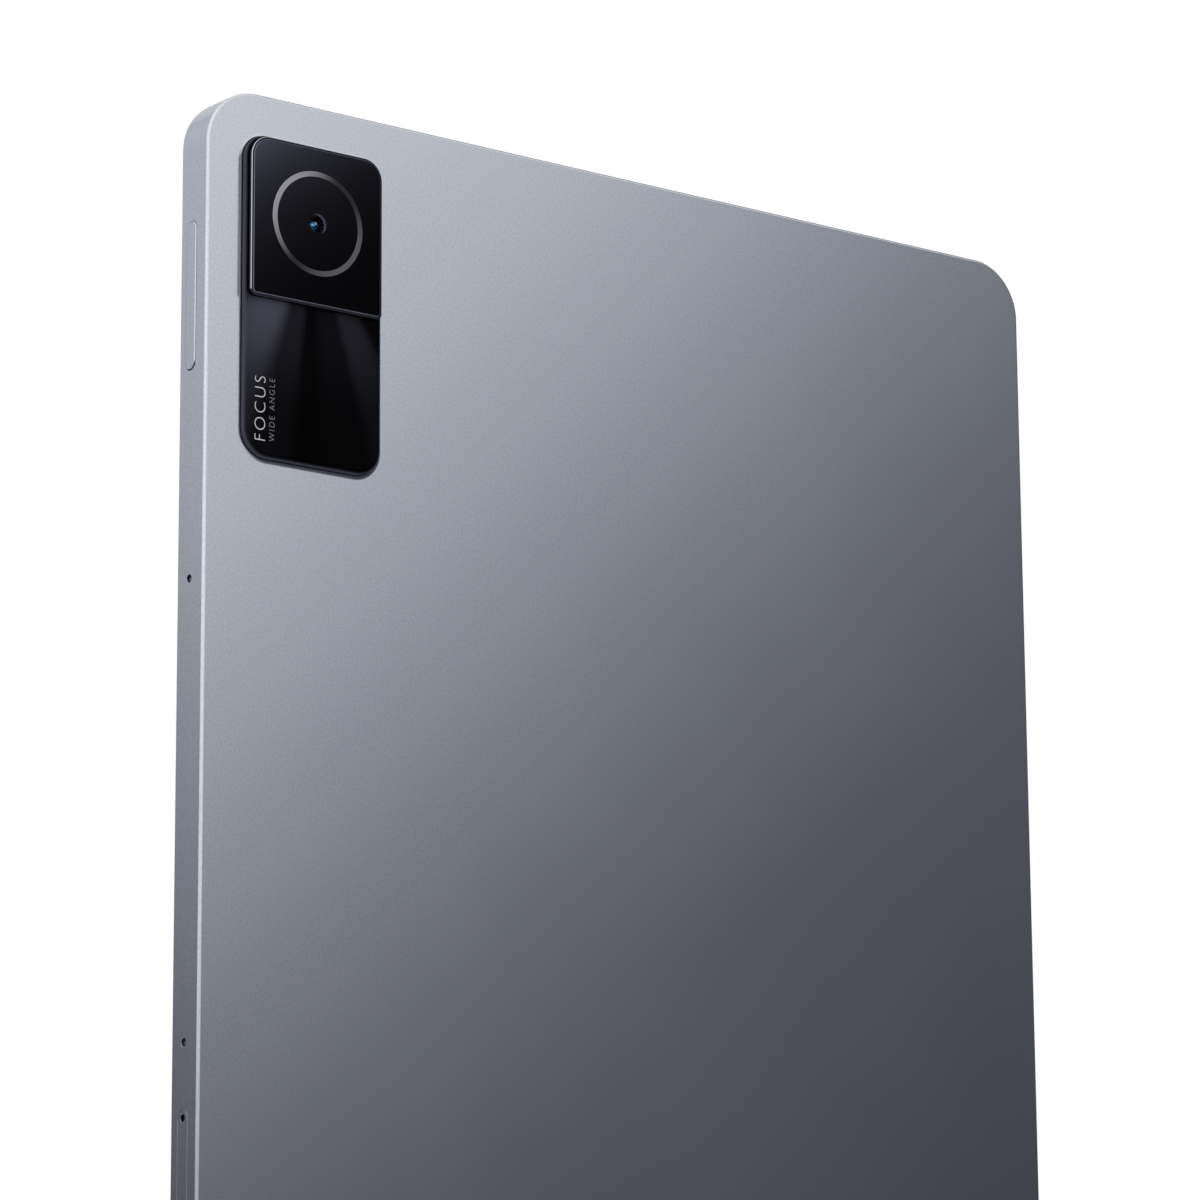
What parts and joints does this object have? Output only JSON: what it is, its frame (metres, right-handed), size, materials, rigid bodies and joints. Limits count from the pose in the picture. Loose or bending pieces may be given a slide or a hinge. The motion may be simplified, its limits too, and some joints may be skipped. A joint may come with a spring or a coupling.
{
  "type": "tablet computer",
  "caption": "Slim tablet computer with a flat metal back, a raised camera island at one corner, edge keys, a card tray and a socket in the bottom edge.",
  "frame": {"origin": "centre of the flat back face", "axes": "+Z along the long side, towards the edge with the camera island; +Y out of the back, so the screen faces -Y; +X towards the long edge that carries the volume key"},
  "size_m": [0.1583, 0.009, 0.2507],
  "materials": {
    "anodised": "fine sand-blasted grey anodised aluminium, satin",
    "keys": "anodised grey, satin",
    "cover_glass": "black-backed cover glass, polished",
    "camera_glass": "black-backed glass, polished",
    "gloss_black": "gloss black",
    "black_plastic": "matt black",
    "ring": "spun, concentric grain",
    "lens": "coated optical glass",
    "adhesive": "black foam tape",
    "lcd_panel": "dark, polarised",
    "backlight": "pale reflector film",
    "board": "solder resist green",
    "steel": "plain sheet steel",
    "brass": "plated",
    "flex": "amber polyimide film",
    "battery": "dark pouch foil",
    "rubber": "matt",
    "antenna": "dark grey carrier with traces"
  },
  "bodies": {
    "chassis": {"antenna_1": "antenna", "antenna_2": "antenna", "backlight": "backlight", "battery_board": "board", "battery_cell_1": "battery", "battery_cell_2": "battery", "battery_lead": "flex", "battery_plug": "black_plastic", "camera_barrel": "black_plastic", "camera_bezel": "gloss_black", "camera_flex": "flex", "camera_frame": "black_plastic", "camera_glass": "camera_glass", "camera_lens": "lens", "camera_lower_panel": "gloss_black", "camera_module": "black_plastic", "camera_ring": "ring", "card_socket": "steel", "cover_glass": "cover_glass", "display_adhesive": "adhesive", "display_board": "board", "front_camera": "black_plastic", "front_camera_lens": "lens", "lcd_panel": "lcd_panel", "main_flex": "flex", "mainboard": "board", "mainboard_screw_1": "steel", "mainboard_screw_2": "steel", "mainboard_screw_3": "steel", "memory_shield": "steel", "microphone_1": "brass", "microphone_2": "brass", "microphone_seal_1": "rubber", "microphone_seal_2": "rubber", "power_switch": "steel", "processor_shield": "steel", "radio_shield": "steel", "rear_cover": "anodised", "speaker_bottom_1": "black_plastic", "speaker_bottom_1_mesh": "steel", "speaker_bottom_1_screw": "steel", "speaker_bottom_2": "black_plastic", "speaker_bottom_2_mesh": "steel", "speaker_bottom_2_screw": "steel", "speaker_top_1": "black_plastic", "speaker_top_1_mesh": "steel", "speaker_top_1_screw": "steel", "speaker_top_2": "black_plastic", "speaker_top_2_mesh": "steel", "speaker_top_2_screw": "steel", "usb_board": "board", "usb_board_screw_1": "steel", "usb_board_screw_2": "steel", "usb_shell": "steel", "usb_tongue": "black_plastic", "volume_switches": "steel"},
    "volume_key": {"volume_key": "keys"},
    "power_key": {"power_key": "keys"},
    "card_tray": {"card_tray": "keys"}
  },
  "joints": [
    {"name": "volume_key_rock", "type": "hinge", "parent": "chassis", "child": "volume_key", "pos_m": [0.07559, -0.0039, 0.09379], "axis": [0, 1, 0], "range_deg": [-1, 1], "stiffness_Nm_per_rad": 6},
    {"name": "power_key_press", "type": "slide", "parent": "chassis", "child": "power_key", "axis": [0, 0, -1], "range_m": [0, 0.0002], "stiffness_N_per_m": 6000},
    {"name": "card_tray_slide", "type": "slide", "parent": "chassis", "child": "card_tray", "axis": [1, 0, 0], "range_m": [0, 0.02]}
  ]
}
